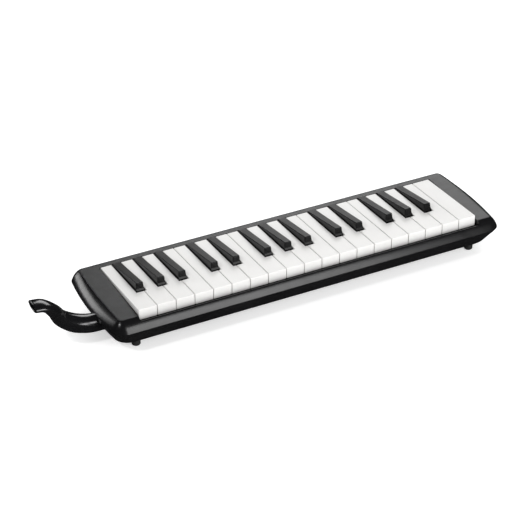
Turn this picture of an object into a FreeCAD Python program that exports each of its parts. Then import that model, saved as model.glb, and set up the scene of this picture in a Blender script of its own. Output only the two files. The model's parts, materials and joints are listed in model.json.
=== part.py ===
import FreeCAD, Part
import math
import os
import Sketcher
from FreeCAD import Placement, Rotation, Vector

# A 32-key melodica: a two-part case, a row of rocking key levers over a wind chest with brass
# reed plates, an air chamber under them, a push-in mouthpiece and a drain valve.
# Keyboard frame used by the named dimensions: x = 0 at the middle of the keyboard, y = 0 at the
# front faces of the white keys, z = 0 at the top of the case deck. The document's own frame has
# its origin on the table, under the middle of the overall footprint.

DIMENSIONS = [
    # keyboard
    ("white_pitch", 19.3), ("white_gap", 0.55), ("white_length", 89.3), ("white_count", 19),
    ("white_front_top", 4.7), ("white_front_low", -6.4), ("white_tail_low", -4.5),
    ("white_skin", 2.2), ("white_wall", 1.4), ("notch_front", 29.6), ("slot_width", 10.2),
    ("black_width", 8.8), ("black_top_width", 7.0), ("black_front", 31.7),
    ("black_front_top_y", 33.6), ("black_foot", 1.1), ("black_foot_low", 2.9),
    ("black_foot_top", 4.5), ("black_top", 10.6), ("black_rear_top", 0.9),
    ("black_shift_outer", 2.7), ("black_shift_inner", 1.93), ("black_cavity_width", 4.6),
    ("key_edge_radius", 0.6), ("black_edge_radius", 0.9), ("black_wall", 2.5), ("black_skin", 2.6),
    ("black_rear_wall", 2.0), ("black_rear_skin", 1.8), ("hollow_low", -30.0), ("cut_reach", 400.0),
    # levers
    ("web_width", 5.0), ("pivot_y", 54.0), ("pivot_z", -9.0), ("hub_radius", 3.2),
    ("axle_radius", 1.25), ("axle_play", 0.05), ("white_stop_y", 8.0), ("white_stop_low", -10.28),
    ("black_stop_y", 33.5), ("black_stop_low", -11.96), ("white_stop_depth", 5.0),
    ("black_stop_depth", 3.5), ("web_foot", -7.0), ("hub_flare", 3.0), ("hub_side", 0.9),
    ("hub_corner", 0.45), ("web_rise", 2.0), ("seat_rise", 1.5), ("web_overlap", 0.6),
    ("seat_y", 70.5), ("seat_low", -13.8),
    ("pad_length", 9.0), ("pad_width", 7.6), ("spring_width", 3.0), ("spring_thickness", 0.3),
    ("spring_front", 37.4), ("spring_low", -7.269), ("spring_length", 14.8), ("spring_angle", 26.4),
    # wind chest and reeds
    ("chest_top", -16.0), ("chest_left", -186.0), ("chest_right", 194.0), ("chest_front", 4.0),
    ("chest_rear", 89.5), ("chest_plate", 3.0), ("cell_depth", 5.0), ("chest_depth", 7.0),
    ("chest_step", 33.0), ("cell_front", 44.0), ("cell_rear", 79.0), ("cell_width", 7.0),
    ("tone_front", 72.0), ("front_screw_y", 22.0), ("rear_screw_y", 87.2),
    ("tray_screw_front_y", 36.8), ("tray_screw_rear_y", 86.6), ("reed_tip_gap", 0.3),
    ("tone_rear", 78.0), ("tone_width", 4.5), ("plate_front", 43.0), ("plate_rear", 81.0),
    ("plate_left", -182.5), ("plate_right", 179.5), ("plate_thickness", 1.2),
    ("plate_split", -4.0), ("reed_root", 46.0), ("reed_slot_front", 49.0),
    ("reed_width", 2.6), ("reed_slot_width", 2.9), ("reed_longest", 29.0),
    ("reed_shortest", 14.0), ("reed_thickness", 0.3), ("rivet_radius", 0.8),
    # felts, rail
    ("felt_top", -14.0), ("felt_depth", 5.0), ("rail_front", 48.0), ("rail_rear", 60.0),
    ("rail_base_top", -14.5), ("post_top", -7.0), ("post_width", 2.0), ("rail_half", 183.5),
    ("post_depth", 7.0), ("clip_thickness", 0.6), ("clip_radius", 2.4), ("axle_half", 184.2),
    # air chamber
    ("tray_left", -186.0), ("tray_right", 191.0), ("tray_front", 40.0), ("tray_rear", 84.0),
    ("tray_top", -23.8), ("tray_low", -29.6), ("tray_wall", 1.6), ("gasket_width", 1.6),
    ("inlet_front", 45.0), ("inlet_rear", 56.0), ("inlet_height", 3.0), ("rivet_inset", 1.3),
    # case
    ("case_centre", -1.85), ("deck_half", 203.5), ("deck_front", -3.0), ("deck_rear", 96.6),
    ("deck_sagitta", 2.0), ("deck_corner", 4.0), ("belt_half", 213.4), ("belt_front", -11.8),
    ("belt_rear", 104.6), ("belt_sagitta", 5.4), ("belt_corner", 13.5), ("belt_z", -11.0),
    ("flank_bulge", 1.3), ("case_low", -33.0), ("table_z", -38.0), ("hull_inset", 21.5),
    ("hull_end_inset", 18.0), ("hull_slope", 58.0), ("hull_radius", 14.0), ("wall", 2.3),
    ("window_half", 184.3), ("window_front", -1.6), ("window_rear", 90.0), ("skirt", 2.0),
    ("lip_shoulder", -3.9), ("lip_nose", 1.6), ("lip_slope", 36.0),
    # mouthpiece and its socket
    ("pipe_y", 31.0), ("pipe_z", -17.6), ("pipe_radius", 9.1), ("pipe_start", -207.2),
    ("pipe_hole_radius", 10.2), ("spigot_radius", 7.9), ("spigot_end", -192.0),
    ("pipe_bore", 5.6), ("socket_radius", 9.5), ("socket_bore", 7.95),
    ("socket_left", -198.5), ("collar_end", -206.9), ("socket_front", 20.5), ("socket_top", -7.8),
    ("inlet_gap", 0.8), ("pipe_wall", 1.6), ("tip_reach", 59.5),
    # feet, screws, drain valve
    ("foot_centre", -0.6), ("foot_spread", 183.0), ("foot_front", 8.0), ("foot_rear", 86.0),
    ("foot_radius", 4.3), ("foot_seat", -31.8), ("foot_soft_edge", 1.3), ("stem_radius", 2.0),
    ("stem_length", 2.0), ("screw_radius", 1.4), ("screw_head_radius", 2.6),
    ("screw_head_height", 1.7), ("drain_x", 185.0), ("drain_y", 62.0), ("drain_travel", 1.5),
    ("screw_seat", -22.0), ("screw_play", 0.1), ("well_radius", 3.0), ("boss_radius", 3.2),
    ("pillar_radius", 2.8),
    ("drain_proud", 2.2), ("drain_stem_radius", 1.2), ("spring_wire", 0.25),
    ("drain_hole_radius", 2.0), ("button_radius", 4.93), ("button_hole_radius", 5.0),
]

BLACK_AFTER = {"F": "-Sheet.black_shift_outer", "G": "0", "A": "Sheet.black_shift_outer",
               "C": "-Sheet.black_shift_inner", "D": "Sheet.black_shift_inner"}
WHITE_ORDER = "FGABCDE"


def add_sheet(doc):
    sheet = doc.addObject("Spreadsheet::Sheet", "Sheet")
    for row, (alias, number) in enumerate(DIMENSIONS, start=1):
        sheet.set(f"A{row}", alias)
        sheet.set(f"B{row}", str(number))
        sheet.setAlias(f"B{row}", alias)
    doc.recompute()
    return sheet


class Dims:
    """The sheet's cells as plain numbers, for the shapes that Part's functions make."""

    def __init__(self, sheet):
        self.sheet = sheet

    def __getattr__(self, alias):
        return float(self.sheet.get(alias))


def origin_x(d):
    """Keyboard-frame x of the middle of the overall footprint."""
    return d.case_centre - d.tip_reach / 2


def origin_y(d):
    return (d.belt_front + d.belt_rear) / 2


def to_table(d):
    """Moves a shape drawn in the keyboard frame into the document's frame."""
    return Placement(Vector(-origin_x(d), -origin_y(d), -d.table_z), Rotation())


FRAME_X = "Sheet.tip_reach / 2 - Sheet.case_centre"
FRAME_Y = "-(Sheet.belt_front + Sheet.belt_rear) / 2"
FRAME_Z = "-Sheet.table_z"


def place(obj, x="0"):
    """Binds the placement of a piece drawn about keyboard-frame x to the document's frame."""
    obj.setExpression("Placement.Base.x", f"{FRAME_X} + {x}")
    obj.setExpression("Placement.Base.y", FRAME_Y)
    obj.setExpression("Placement.Base.z", FRAME_Z)
    return obj


# ---------- sketch helpers ----------

def new_sketch(body, name, role, offset="0"):
    plane = [item for item in body.Origin.OriginFeatures if item.Role == role][0]
    sketch = body.newObject("Sketcher::SketchObject", name)
    sketch.AttachmentSupport = [(plane, "")]
    sketch.MapMode = "FlatFace"
    sketch.setExpression("AttachmentOffset.Base.z", offset)
    return sketch


def number(owner, expression):
    return float(owner.evalExpression(expression))


def bind(sketch, kind, vertex, coordinate, expression):
    """Holds one coordinate of a line's start point at an expression of the sheet."""
    constraint = Sketcher.Constraint(kind, -1, 1, vertex, 1, number(sketch, expression))
    index = sketch.addConstraint(constraint)
    name = f"{coordinate}{vertex}"
    sketch.renameConstraint(index, name)
    sketch.setExpression(f"Constraints.{name}", expression)


def polygon(sketch, corners):
    """A closed outline; every corner is a pair of sheet expressions."""
    first = sketch.GeometryCount
    count = len(corners)
    points = [Vector(number(sketch, x), number(sketch, y), 0) for x, y in corners]
    for i in range(count):
        sketch.addGeometry(Part.LineSegment(points[i], points[(i + 1) % count]))
    for i in range(count):
        following = first + (i + 1) % count
        sketch.addConstraint(Sketcher.Constraint("Coincident", first + i, 2, following, 1))
    for i, (x, y) in enumerate(corners):
        bind(sketch, "DistanceX", first + i, "x", x)
        bind(sketch, "DistanceY", first + i, "y", y)
    return sketch


def rectangle(sketch, x_low, x_high, y_low, y_high):
    return polygon(sketch, [(x_low, y_low), (x_high, y_low), (x_high, y_high), (x_low, y_high)])


def circle(sketch, x, y, radius):
    index = sketch.addGeometry(Part.Circle(
        Vector(number(sketch, x), number(sketch, y), 0), Vector(0, 0, 1), number(sketch, radius)))
    for kind, coordinate, expression in (("DistanceX", "x", x), ("DistanceY", "y", y)):
        constraint = Sketcher.Constraint(kind, -1, 1, index, 3, number(sketch, expression))
        name = f"c{coordinate}{index}"
        sketch.renameConstraint(sketch.addConstraint(constraint), name)
        sketch.setExpression(f"Constraints.{name}", expression)
    constraint = Sketcher.Constraint("Radius", index, number(sketch, radius))
    sketch.renameConstraint(sketch.addConstraint(constraint), f"r{index}")
    sketch.setExpression(f"Constraints.r{index}", radius)
    return sketch


def pad(body, sketch, length, symmetric=True):
    feature = body.newObject("PartDesign::Pad", sketch.Name + "Pad")
    feature.Profile = sketch
    feature.SideType = "Symmetric" if symmetric else "One side"
    feature.setExpression("Length", length)
    return feature


def pocket(body, sketch, length, symmetric=True, upward=False):
    """Cuts symmetrically about the sketch, or to one side of it."""
    feature = body.newObject("PartDesign::Pocket", sketch.Name + "Pocket")
    feature.Profile = sketch
    feature.SideType = "Symmetric" if symmetric else "One side"
    feature.Reversed = upward
    feature.setExpression("Length", length)
    return feature


def fillet(doc, body, radius, wanted):
    """Rounds the edges of the body's tip whose end points pass the test."""
    doc.recompute()
    tip = body.Tip
    names = []
    for index, edge in enumerate(tip.Shape.Edges, start=1):
        if len(edge.Vertexes) == 2 and wanted(*[vertex.Point for vertex in edge.Vertexes]):
            names.append(f"Edge{index}")
    feature = body.newObject("PartDesign::Fillet", body.Name + "Fillet")
    feature.Base = (tip, names)
    feature.setExpression("Radius", radius)
    return feature


# ---------- keyboard layout ----------

def key_list():
    """Every key from the lowest: (node name, kind, x of its origin, left and right tail edges)."""
    keys = []
    octave = 3
    half = "(Sheet.white_pitch - Sheet.white_gap) / 2"
    slot = "Sheet.slot_width / 2"
    previous = None
    for i in range(19):
        letter = WHITE_ORDER[i % 7]
        if letter == "C":
            octave += 1
        centre = f"({i} - (Sheet.white_count - 1) / 2) * Sheet.white_pitch"
        left = f"-{half}"
        if previous in BLACK_AFTER:
            left = f"-Sheet.white_pitch / 2 + {BLACK_AFTER[previous]} + {slot}"
        right = half
        last = i == 18
        if letter in BLACK_AFTER and not last:
            right = f"Sheet.white_pitch / 2 + {BLACK_AFTER[letter]} - {slot}"
        keys.append((f"white_key_{letter.lower()}{octave}", "white", centre, left, right))
        if letter in BLACK_AFTER and not last:
            black = f"{centre} + Sheet.white_pitch / 2 + {BLACK_AFTER[letter]}"
            name = f"black_key_{letter.lower()}_sharp_{octave}"
            keys.append((name, "black", black, "-Sheet.slot_width / 2", "Sheet.slot_width / 2"))
        previous = letter
    return keys


def lever_x(key):
    """Keyboard-frame x of the middle of a key's lever."""
    return f"({key[2]} + (({key[3]}) + ({key[4]})) / 2)"


SLOPE = "(Sheet.white_front_top / Sheet.white_length)"


def add_lever_parts(doc, body, key, web_corners):
    """The web under a key with its hub, its axle bore, and the sealing pad and leaf spring."""
    label = body.Name
    middle = f"(({key[3]}) + ({key[4]})) / 2"
    web = polygon(new_sketch(body, label + "Web", "YZ_Plane", middle), web_corners)
    pad(body, web, "Sheet.web_width")
    bore = new_sketch(body, label + "Bore", "YZ_Plane", middle)
    circle(bore, "Sheet.pivot_y", "Sheet.pivot_z", "Sheet.axle_radius + Sheet.axle_play")
    pocket(body, bore, "Sheet.web_width + 20")
    seal = doc.addObject("Part::Box", label + "Pad")
    seal.setExpression("Length", "Sheet.pad_width")
    seal.setExpression("Width", "Sheet.pad_length")
    seal.setExpression("Height", "Sheet.seat_low - Sheet.chest_top")
    seal.setExpression("Placement.Base.x", f"{middle} - Sheet.pad_width / 2")
    seal.setExpression("Placement.Base.y", "Sheet.seat_y")
    seal.setExpression("Placement.Base.z", "Sheet.chest_top")
    leaf = doc.addObject("Part::Box", label + "Leaf")
    fall = -number(leaf, "Sheet.spring_angle")
    leaf.Placement = Placement(Vector(), Rotation(Vector(1, 0, 0), fall))
    leaf.setExpression("Length", "Sheet.spring_width")
    leaf.setExpression("Width", "Sheet.spring_length")
    leaf.setExpression("Height", "Sheet.spring_thickness")
    leaf.setExpression("Placement.Base.x", f"{middle} - Sheet.spring_width / 2")
    leaf.setExpression("Placement.Base.y", "Sheet.spring_front")
    leaf.setExpression("Placement.Base.z", "Sheet.spring_low")
    group = doc.addObject("Part::Compound", label + "Group")
    group.Links = [body, seal, leaf]
    group.Label = key[0]
    return place(group, key[2])


def web_outline(stop_front, stop_depth, stop_low, top_front, top_rear):
    """Side outline of a lever web: down-stop, spring seat, hub, then the pad seat."""
    hub = "Sheet.hub_radius"
    near, far = f"{hub} * Sheet.hub_corner", f"{hub} * Sheet.hub_side"
    flare = f"{hub} + Sheet.hub_flare"
    stop_rear = f"{stop_front} + {stop_depth}"
    return [
        (stop_front, top_front), (stop_front, stop_low), (stop_rear, stop_low),
        (stop_rear, "Sheet.web_foot"),
        (f"Sheet.pivot_y - ({flare})", "Sheet.pivot_z + Sheet.web_rise"),
        (f"Sheet.pivot_y - {far}", f"Sheet.pivot_z - {near}"),
        (f"Sheet.pivot_y - {near}", f"Sheet.pivot_z - {far}"),
        (f"Sheet.pivot_y + {near}", f"Sheet.pivot_z - {far}"),
        (f"Sheet.pivot_y + {far}", f"Sheet.pivot_z - {near}"),
        (f"Sheet.pivot_y + {flare}", "Sheet.pivot_z + Sheet.web_rise"),
        ("Sheet.seat_y - 1", "Sheet.pivot_z + Sheet.seat_rise"), ("Sheet.seat_y", "Sheet.seat_low"),
        ("Sheet.seat_y + Sheet.pad_length", "Sheet.seat_low"),
        ("Sheet.seat_y + Sheet.pad_length + 1", top_rear),
    ]


def add_white_key(doc, key):
    """A hollow white key: sloped top, full front skirt, tail narrowed beside the black keys."""
    label = "K" + key[0].title().replace("_", "")
    body = doc.addObject("PartDesign::Body", label)
    side = polygon(new_sketch(body, label + "Side", "YZ_Plane"), [
        ("0", "Sheet.white_front_low"), ("0", "Sheet.white_front_top"), ("Sheet.white_length", "0"),
        ("Sheet.white_length", "Sheet.white_tail_low"), ("Sheet.notch_front", "Sheet.white_tail_low"),
        ("Sheet.notch_front", "Sheet.white_front_low")])
    pad(body, side, "Sheet.white_pitch - Sheet.white_gap")
    half = "(Sheet.white_pitch - Sheet.white_gap) / 2"
    for edge, outer, end in ((key[3], f"-{half}", "Left"), (key[4], half, "Right")):
        if edge == outer:
            continue
        notch = new_sketch(body, label + end, "XY_Plane")
        beyond = f"{outer} * 1.2"
        low, high = (beyond, edge) if end == "Left" else (edge, beyond)
        rectangle(notch, low, high, "Sheet.notch_front", "Sheet.white_length + 1")
        pocket(body, notch, "Sheet.cut_reach")
    top = f"Sheet.white_front_top - Sheet.white_skin - Sheet.white_wall * {SLOPE}"
    joint = f"Sheet.white_front_top - Sheet.white_skin - Sheet.notch_front * {SLOPE}"
    below = "Sheet.hollow_low"
    head_rear = "Sheet.notch_front - Sheet.white_wall"
    hollow = polygon(new_sketch(body, label + "Hollow", "YZ_Plane"), [
        ("Sheet.white_wall", below), ("Sheet.white_wall", top), (head_rear, joint), (head_rear, below)])
    pocket(body, hollow, "Sheet.white_pitch - Sheet.white_gap - 2 * Sheet.white_wall")
    rear = f"-Sheet.white_skin + Sheet.white_wall * {SLOPE}"
    middle = f"(({key[3]}) + ({key[4]})) / 2"
    tail_front = "Sheet.notch_front - 2 * Sheet.white_wall"
    tail_rear = "Sheet.white_length - Sheet.white_wall"
    tail = polygon(new_sketch(body, label + "Tail", "YZ_Plane", middle), [
        (tail_front, below), (tail_front, joint), (tail_rear, rear), (tail_rear, below)])
    pocket(body, tail, f"({key[4]}) - ({key[3]}) - 2 * Sheet.white_wall")

    front_top = number(side, "Sheet.white_front_top")
    slope = number(side, SLOPE)

    def on_top(point):
        return abs(point.z - front_top + slope * point.y) < 0.01

    def rounded(a, b):
        """Every edge of the top face but the rear one, and the two upright front edges."""
        upright = abs(a.y) < 0.01 and abs(b.y) < 0.01 and on_top(a) != on_top(b)
        rear = min(a.y, b.y) > 80
        return upright or (on_top(a) and on_top(b) and not rear)
    fillet(doc, body, "Sheet.key_edge_radius", rounded)
    skin = "Sheet.white_skin * Sheet.web_overlap"
    stop = "Sheet.white_stop_y"
    front = f"Sheet.white_front_top - {skin} - {stop} * {SLOPE}"
    back = f"Sheet.white_front_top - {skin} - (Sheet.seat_y + Sheet.pad_length + 1) * {SLOPE}"
    corners = web_outline(stop, "Sheet.white_stop_depth", "Sheet.white_stop_low", front, back)
    return add_lever_parts(doc, body, key, corners)


def add_black_key(doc, key):
    """A hollow black key: a wedge that falls to the rear, with a raked front and drafted sides."""
    label = "K" + key[0].title().replace("_", "")
    body = doc.addObject("PartDesign::Body", label)
    side = polygon(new_sketch(body, label + "Side", "YZ_Plane"), [
        ("Sheet.black_front", "Sheet.white_tail_low"), ("Sheet.black_front", "Sheet.black_foot_low"),
        ("Sheet.black_front + Sheet.black_foot", "Sheet.black_foot_top"),
        ("Sheet.black_front_top_y", "Sheet.black_top"), ("Sheet.white_length", "Sheet.black_rear_top"),
        ("Sheet.white_length", "Sheet.white_tail_low")])
    pad(body, side, "Sheet.black_width")
    low = "Sheet.black_width / 2"
    high = "Sheet.black_top_width / 2"
    for sign in ("-1", "1"):
        draft = new_sketch(body, label + ("Right" if sign == "1" else "Left"), "XZ_Plane")
        beside, above = f"{sign} * ({low} + 3)", "Sheet.black_top + 5"
        polygon(draft, [(f"{sign} * {low}", "0"), (f"{sign} * {high}", "Sheet.black_top"),
                        (f"{sign} * {high}", above), (beside, above), (beside, "0")])
        pocket(body, draft, "Sheet.cut_reach")
    inner_front = "Sheet.black_front + Sheet.black_wall"
    inner_rear = "Sheet.white_length - Sheet.black_rear_wall"
    hollow = polygon(new_sketch(body, label + "Hollow", "YZ_Plane"), [
        (inner_front, "Sheet.hollow_low"), (inner_front, "Sheet.black_wall"),
        ("Sheet.black_front_top_y + Sheet.black_wall", "Sheet.black_top - Sheet.black_skin"),
        (inner_rear, "Sheet.black_rear_top - Sheet.black_rear_skin"), (inner_rear, "Sheet.hollow_low")])
    pocket(body, hollow, "Sheet.black_cavity_width")

    def rounded(a, b):
        """The edges round the top face and the raked front corners."""
        if max(a.z, b.z) < 0.5 or abs(a.x - b.x) < 0.01 and abs(a.x) < 3:
            return False
        if abs(a.x - b.x) > 6:
            return min(a.y, b.y) < 40 and min(a.z, b.z) > 9
        outside = abs(a.x) > 3.3 and max(a.z, b.z) > 9
        return outside and (abs(a.y - b.y) > 40 or max(a.y, b.y) < 35)
    fillet(doc, body, "Sheet.black_edge_radius", rounded)
    web_top = "Sheet.white_tail_low + 1"
    corners = web_outline("Sheet.black_stop_y", "Sheet.black_stop_depth", "Sheet.black_stop_low",
                          web_top, web_top)
    return add_lever_parts(doc, body, key, corners)


# ---------- wind chest, reeds and lever rail ----------

def block(doc, name, low, size):
    """A box in the keyboard frame; its low corner and its size are sheet expressions."""
    item = doc.addObject("Part::Box", name)
    for side, expression in zip(("Length", "Width", "Height"), size):
        item.setExpression(side, expression)
    for axis, expression in zip("xyz", low):
        item.setExpression(f"Placement.Base.{axis}", expression)
    return item


def drill(doc, name, low, radius, height):
    """An upright cylinder in the keyboard frame."""
    item = doc.addObject("Part::Cylinder", name)
    item.setExpression("Radius", radius)
    item.setExpression("Height", height)
    for axis, expression in zip("xyz", low):
        item.setExpression(f"Placement.Base.{axis}", expression)
    return item


def cut_from(doc, label, base, tools):
    """The base less every tool, placed in the document's frame under its node name."""
    name = label.title().replace("_", "")
    tool = doc.addObject("Part::Compound", name + "Tools")
    tool.Links = tools
    result = doc.addObject("Part::Cut", name + "Cut")
    result.Base = base
    result.Tool = tool
    result.Label = label
    return place(result)


BLOCK_LOW = "Sheet.chest_top - Sheet.chest_depth"
CHEST_SCREWS = [(x, "front_screw_y") for x in (-150, -50, 50, 150)]
CHEST_SCREWS += [(x, "rear_screw_y") for x in (-140, -60, 60, 140)]
TRAY_SCREWS = [(x, f"tray_screw_{end}_y") for x in (-165, -85, 0, 85, 165) for end in ("front", "rear")]


def add_chest(doc, keys):
    """Top plate over the whole width with a thicker block that holds one cell per key."""
    body = doc.addObject("PartDesign::Body", "WindChestBlock")
    middle = "(Sheet.chest_left + Sheet.chest_right) / 2"
    plate_low = "Sheet.chest_top - Sheet.chest_plate"
    section = polygon(new_sketch(body, "ChestSide", "YZ_Plane", middle), [
        ("Sheet.chest_front", "Sheet.chest_top"), ("Sheet.chest_front", plate_low),
        ("Sheet.chest_step", plate_low), ("Sheet.chest_step", BLOCK_LOW),
        ("Sheet.chest_rear", BLOCK_LOW), ("Sheet.chest_rear", "Sheet.chest_top")])
    pad(body, section, "Sheet.chest_right - Sheet.chest_left")
    tools = []
    for i, key in enumerate(keys):
        x = lever_x(key)
        cell_low = (f"{x} - Sheet.cell_width / 2", "Sheet.cell_front", BLOCK_LOW)
        cell = ("Sheet.cell_width", "Sheet.cell_rear - Sheet.cell_front", "Sheet.cell_depth")
        tone_low = (f"{x} - Sheet.tone_width / 2", "Sheet.tone_front", BLOCK_LOW)
        tone = ("Sheet.tone_width", "Sheet.tone_rear - Sheet.tone_front", "Sheet.chest_depth")
        tools.append(block(doc, f"Cell{i}", cell_low, cell))
        tools.append(block(doc, f"Tone{i}", tone_low, tone))
    for i, (x, y) in enumerate(CHEST_SCREWS):
        tools.append(drill(doc, f"ChestHole{i}", (str(x), f"Sheet.{y}", BLOCK_LOW),
                           "Sheet.screw_radius + Sheet.screw_play", "Sheet.chest_depth"))
    for i, (x, y) in enumerate(TRAY_SCREWS):
        tools.append(drill(doc, f"ChestPilot{i}", (str(x), f"Sheet.{y}", BLOCK_LOW),
                           "Sheet.screw_radius", "Sheet.cell_depth"))
    return cut_from(doc, "wind_chest", body, tools)


def reed_length(order):
    """Tongues shorten evenly from the lowest note to the highest."""
    return f"(Sheet.reed_longest - (Sheet.reed_longest - Sheet.reed_shortest) * {order} / 31)"


def add_reed_set(doc, keys, name, left, right):
    """One brass plate with a slot and a rivet hole for each of its notes, and its tongues."""
    low = f"{BLOCK_LOW} - Sheet.plate_thickness"
    tongue_low = f"{low} - Sheet.reed_thickness"
    root = "Sheet.reed_root"
    plate = block(doc, f"Plate{name}", (left, "Sheet.plate_front", low),
                  (f"{right} - {left}", "Sheet.plate_rear - Sheet.plate_front", "Sheet.plate_thickness"))
    slots = []
    tongues = []
    rivets = []
    for order, key in keys:
        x = lever_x(key)
        length = reed_length(order)
        slot_low = (f"{x} - Sheet.reed_slot_width / 2", "Sheet.reed_slot_front", low)
        slot_length = f"Sheet.reed_root + {length} + Sheet.reed_tip_gap - Sheet.reed_slot_front"
        slots.append(block(doc, f"Slot{order}", slot_low,
                           ("Sheet.reed_slot_width", slot_length, "Sheet.plate_thickness")))
        tongues.append(block(doc, f"Tongue{order}", (f"{x} - Sheet.reed_width / 2", root, tongue_low),
                             ("Sheet.reed_width", length, "Sheet.reed_thickness")))
        rivet_low = (x, f"{root} + Sheet.rivet_inset", tongue_low)
        rivets.append(drill(doc, f"RivetHole{order}", rivet_low, "Sheet.rivet_radius",
                            "Sheet.plate_thickness + Sheet.reed_thickness"))
    reeds = doc.addObject("Part::Compound", f"Tongues{name}")
    reeds.Links = tongues
    return [cut_from(doc, f"reed_plate_{name}", plate, slots + rivets),
            cut_from(doc, f"reeds_{name}", reeds, rivets)]


def add_rivets(doc, d, keys):
    """A brass rivet through each tongue and its plate, with a small head below."""
    top = d.chest_top - d.chest_depth
    low = top - d.plate_thickness - d.reed_thickness
    y = d.reed_root + d.rivet_inset
    solids = []
    for key in keys:
        x = number(doc.Sheet, lever_x(key).replace("Sheet.", ""))
        shank = rod(x, y, low, d.rivet_radius, top - low)
        head = rod(x, y, low - 0.4, d.rivet_radius * 1.4, 0.4)
        solids.append(shank.fuse(head).removeSplitter())
    return add_shape(doc, d, "reed_rivets", Part.makeCompound(solids))


def add_shape(doc, d, label, shape):
    """A piece that Part's functions made in the keyboard frame."""
    feature = doc.addObject("Part::Feature", label.title().replace("_", ""))
    feature.Shape = shape
    feature.Placement = to_table(d)
    feature.Label = label
    return feature


def post_positions(keys):
    """Rail posts stand midway between neighbouring levers and outside the two end ones."""
    centres = [lever_x(key) for key in keys]
    middles = [f"({a} + {b}) / 2" for a, b in zip(centres, centres[1:])]
    return [f"{centres[0]} - Sheet.web_width"] + middles + [f"{centres[-1]} + Sheet.web_width"]


def add_rail(doc, keys):
    """The comb that carries the axle: a base strip with an upright between every two levers."""
    strips = [block(doc, "RailBase", ("-Sheet.rail_half", "Sheet.rail_front", "Sheet.chest_top"),
                    ("2 * Sheet.rail_half", "Sheet.rail_rear - Sheet.rail_front",
                     "Sheet.rail_base_top - Sheet.chest_top"))]
    post = ("Sheet.post_width", "Sheet.post_depth", "Sheet.post_top - Sheet.chest_top")
    for i, x in enumerate(post_positions(keys)):
        low = (f"{x} - Sheet.post_width / 2", "Sheet.pivot_y - Sheet.post_depth / 2", "Sheet.chest_top")
        strips.append(block(doc, f"Post{i}", low, post))
    comb = doc.addObject("Part::MultiFuse", "RailComb")
    comb.Shapes = strips
    comb.Refine = True
    bore = doc.addObject("Part::Cylinder", "RailBore")
    bore.Placement = Placement(Vector(), Rotation(Vector(0, 1, 0), 90))
    bore.setExpression("Radius", "Sheet.axle_radius + Sheet.axle_play / 2")
    bore.setExpression("Height", "2 * Sheet.rail_half")
    bore.setExpression("Placement.Base.x", "-Sheet.rail_half")
    bore.setExpression("Placement.Base.y", "Sheet.pivot_y")
    bore.setExpression("Placement.Base.z", "Sheet.pivot_z")
    return cut_from(doc, "lever_rail", comb, [bore])


def add_axle(doc):
    """The steel rod that all levers rock on."""
    axle = doc.addObject("Part::Cylinder", "LeverAxle")
    axle.Placement = Placement(Vector(), Rotation(Vector(0, 1, 0), 90))
    axle.setExpression("Radius", "Sheet.axle_radius")
    axle.setExpression("Height", "2 * Sheet.axle_half")
    axle.setExpression("Placement.Base.x", f"{FRAME_X} - Sheet.axle_half")
    axle.setExpression("Placement.Base.y", f"{FRAME_Y} + Sheet.pivot_y")
    axle.setExpression("Placement.Base.z", f"{FRAME_Z} + Sheet.pivot_z")
    axle.Label = "lever_axle"
    return axle


def add_axle_clips(doc, d):
    """A push-on ring at each end of the axle."""
    rings = []
    along = Vector(1, 0, 0)
    for x in (-d.axle_half, d.axle_half - d.clip_thickness):
        outer = rod(x, d.pivot_y, d.pivot_z, d.clip_radius, d.clip_thickness, along)
        bore = rod(x, d.pivot_y, d.pivot_z, d.axle_radius, d.clip_thickness, along)
        rings.append(outer.cut(bore))
    return add_shape(doc, d, "axle_clips", Part.makeCompound(rings))


def add_strip(doc, label, front):
    """A plain strip of felt along the keyboard."""
    low = (f"{FRAME_X} - Sheet.rail_half", f"{FRAME_Y} + {front}", f"{FRAME_Z} + Sheet.chest_top")
    size = ("2 * Sheet.rail_half", "Sheet.felt_depth", "Sheet.felt_top - Sheet.chest_top")
    strip = block(doc, label.title().replace("_", ""), low, size)
    strip.Label = label
    return strip


# ---------- air chamber ----------

def add_tray(doc):
    """The moulded tray that closes the air chamber, with screw tabs along both long edges."""
    body = doc.addObject("PartDesign::Body", "ChamberTray")
    outer = rectangle(new_sketch(body, "TrayOuter", "XY_Plane", "Sheet.tray_low"),
                      "Sheet.tray_left", "Sheet.tray_right", "Sheet.tray_front", "Sheet.tray_rear")
    pad(body, outer, "Sheet.tray_top - Sheet.tray_low", symmetric=False)
    tabs = new_sketch(body, "TrayTabs", "XY_Plane", "Sheet.tray_top - Sheet.tray_wall")
    for x in sorted({x for x, y in TRAY_SCREWS}):
        rectangle(tabs, f"{x} - 4", f"{x} + 4", "Sheet.chest_step", "Sheet.chest_rear")
    pad(body, tabs, "Sheet.tray_wall", symmetric=False)
    inner = rectangle(new_sketch(body, "TrayInner", "XY_Plane", "Sheet.tray_low + Sheet.tray_wall"),
                      "Sheet.tray_left + Sheet.tray_wall", "Sheet.tray_right - Sheet.tray_wall",
                      "Sheet.tray_front + Sheet.tray_wall", "Sheet.tray_rear - Sheet.tray_wall")
    pocket(body, inner, "Sheet.chest_depth + Sheet.tray_wall", symmetric=False, upward=True)
    inlet_low = "Sheet.tray_low + Sheet.tray_wall"
    tools = [block(doc, "TrayInlet", ("Sheet.tray_left", "Sheet.inlet_front", inlet_low),
                   ("Sheet.tray_wall", "Sheet.inlet_rear - Sheet.inlet_front",
                    "Sheet.inlet_height")),
             drill(doc, "TrayDrain", ("Sheet.drain_x", "Sheet.drain_y", "Sheet.tray_low"),
                   "Sheet.drain_hole_radius", "Sheet.tray_wall")]
    for i, (x, y) in enumerate(TRAY_SCREWS):
        low = (str(x), f"Sheet.{y}", "Sheet.tray_top - Sheet.tray_wall")
        tools.append(drill(doc, f"TrayHole{i}", low, "Sheet.screw_radius + Sheet.screw_play",
                           "Sheet.tray_wall"))
    return cut_from(doc, "chamber_cover", body, tools)


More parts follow.
